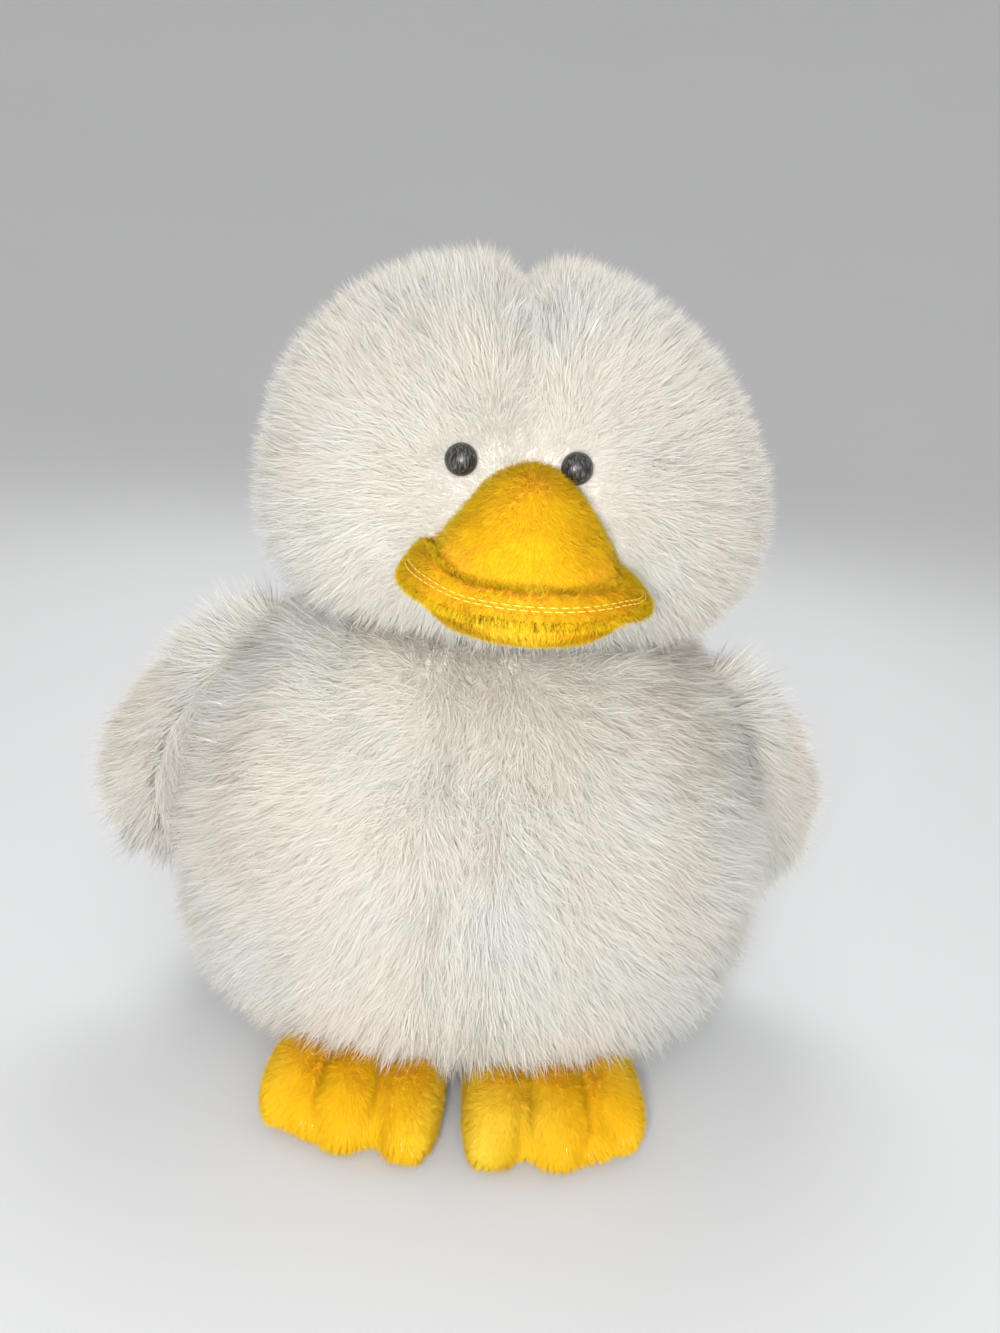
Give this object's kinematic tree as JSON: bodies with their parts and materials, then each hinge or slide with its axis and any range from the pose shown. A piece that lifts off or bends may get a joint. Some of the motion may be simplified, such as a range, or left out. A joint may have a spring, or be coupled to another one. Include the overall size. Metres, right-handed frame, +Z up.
{
  "type": "plush duck",
  "caption": "Sitting plush duck: round pile-fabric torso and head, stuffed bill, domed plastic eyes, leaf-shaped wings that swing and stuffed feet that flex down.",
  "frame": {"origin": "middle of the flat that the torso sits on", "axes": "+Z up, -Y the way that the bill points, +X to the duck's own left"},
  "size_m": [0.2237, 0.1745, 0.2156],
  "materials": {
    "white_plush": "long-pile plush",
    "yellow_plush": "short-pile plush",
    "filling": "polyester fibre filling",
    "eye_plastic": "glossy moulded dome",
    "washer_plastic": "moulded nylon",
    "pouch_cloth": "plain woven cloth",
    "pellet_plastic": "moulded pellets"
  },
  "bodies": {
    "torso": {"torso_skin": "white_plush", "torso_stuffing": "filling", "pellet_pouch": "pouch_cloth", "pellets": "pellet_plastic", "head_skin": "white_plush", "head_stuffing": "filling", "bill_upper": "yellow_plush", "bill_stuffing": "filling", "bill_lower": "yellow_plush", "eye_left": "eye_plastic", "eye_right": "eye_plastic", "eye_washer_left": "washer_plastic", "eye_washer_right": "washer_plastic", "tail": "white_plush"},
    "wing_left": {"wing_left": "white_plush"},
    "wing_right": {"wing_right": "white_plush"},
    "foot_left": {"foot_left_skin": "yellow_plush", "foot_left_stuffing": "filling"},
    "foot_right": {"foot_right_skin": "yellow_plush", "foot_right_stuffing": "filling"}
  },
  "joints": [
    {"name": "wing_left_swing", "type": "hinge", "parent": "torso", "child": "wing_left", "pos_m": [0.0726, 0, 0.10308], "axis": [0.4715, 0, -0.8819], "range_deg": [-12, 50], "stiffness_Nm_per_rad": 0.1},
    {"name": "wing_right_swing", "type": "hinge", "parent": "torso", "child": "wing_right", "pos_m": [-0.06781, 0, 0.11125], "axis": [0.5417, 0, 0.8406], "range_deg": [-12, 65], "stiffness_Nm_per_rad": 0.1},
    {"name": "foot_left_flex", "type": "hinge", "parent": "torso", "child": "foot_left", "pos_m": [0.0262, -0.0435, 0.002], "axis": [0.9945, 0.1045, 0], "range_deg": [0, 25], "stiffness_Nm_per_rad": 0.1},
    {"name": "foot_right_flex", "type": "hinge", "parent": "torso", "child": "foot_right", "pos_m": [-0.0216, -0.0435, 0.002], "axis": [0.9945, -0.1045, 0], "range_deg": [0, 25], "stiffness_Nm_per_rad": 0.1}
  ]
}
